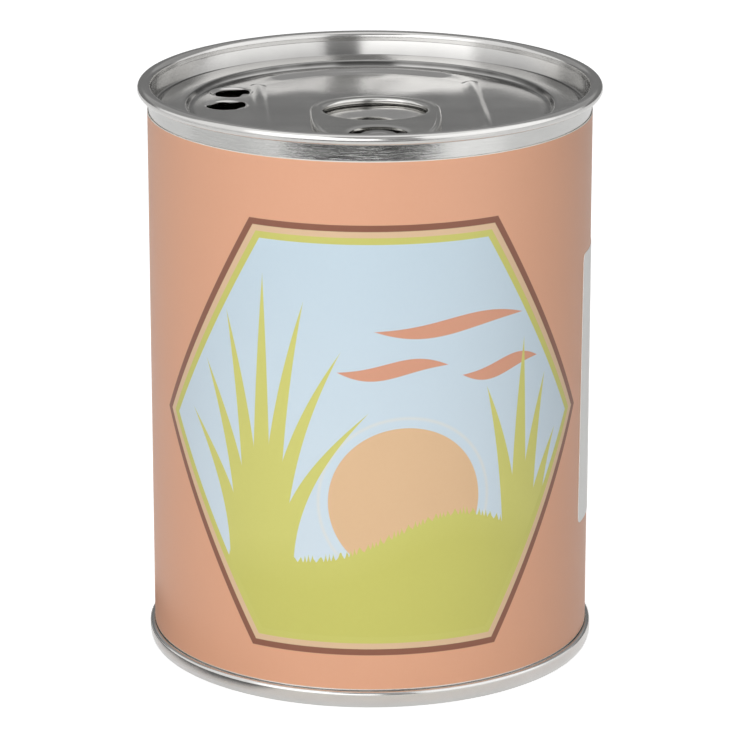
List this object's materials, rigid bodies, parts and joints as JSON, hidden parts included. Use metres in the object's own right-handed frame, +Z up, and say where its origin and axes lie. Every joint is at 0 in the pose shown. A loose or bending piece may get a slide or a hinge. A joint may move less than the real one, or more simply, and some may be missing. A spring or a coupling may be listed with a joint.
{
  "type": "citronella tin candle",
  "caption": "Scented candle in a seamed tin can with an easy-open ring-pull lid, vent holes, a wrapped paper label and a side sticker.",
  "frame": {"origin": "centre of the circle on which the can's bottom seam rests", "axes": "+Z up along the can's axis, -Y towards the printed front, +X to the right of the front"},
  "size_m": [0.0766, 0.0766, 0.096],
  "materials": {
    "body_tin": "bright tinplate with faint rolling marks",
    "end_tin": "bright tinplate",
    "tab_tin": "bright tinplate, curled edges",
    "seal": "matt sealing compound",
    "wax": "cast scented wax",
    "wick": "braided cotton",
    "foot_tin": "stamped tinplate",
    "glue": "set hot-melt glue",
    "paper": "printed paper with a satin varnish",
    "sticker": "plain white sticker",
    "ink_brown": "printed brown",
    "ink_tan": "printed tan",
    "ink_blue": "printed pale blue",
    "ink_green": "printed lime green",
    "ink_sun": "printed sand",
    "ink_coral": "printed coral"
  },
  "bodies": {
    "root": {"can_body": "body_tin", "bottom_end": "end_tin", "bottom_seal": "seal", "lid_end": "end_tin", "top_seal": "seal", "pull_tab": "tab_tin", "wax_fill": "wax", "wick": "wick", "wick_sustainer": "foot_tin", "glue_dot": "glue", "paper_label": "paper", "side_sticker": "sticker", "print_border": "ink_brown", "print_inner_border": "ink_tan", "print_sky": "ink_blue", "print_green": "ink_green", "print_sun": "ink_sun", "print_clouds": "ink_coral"}
  },
  "joints": []
}
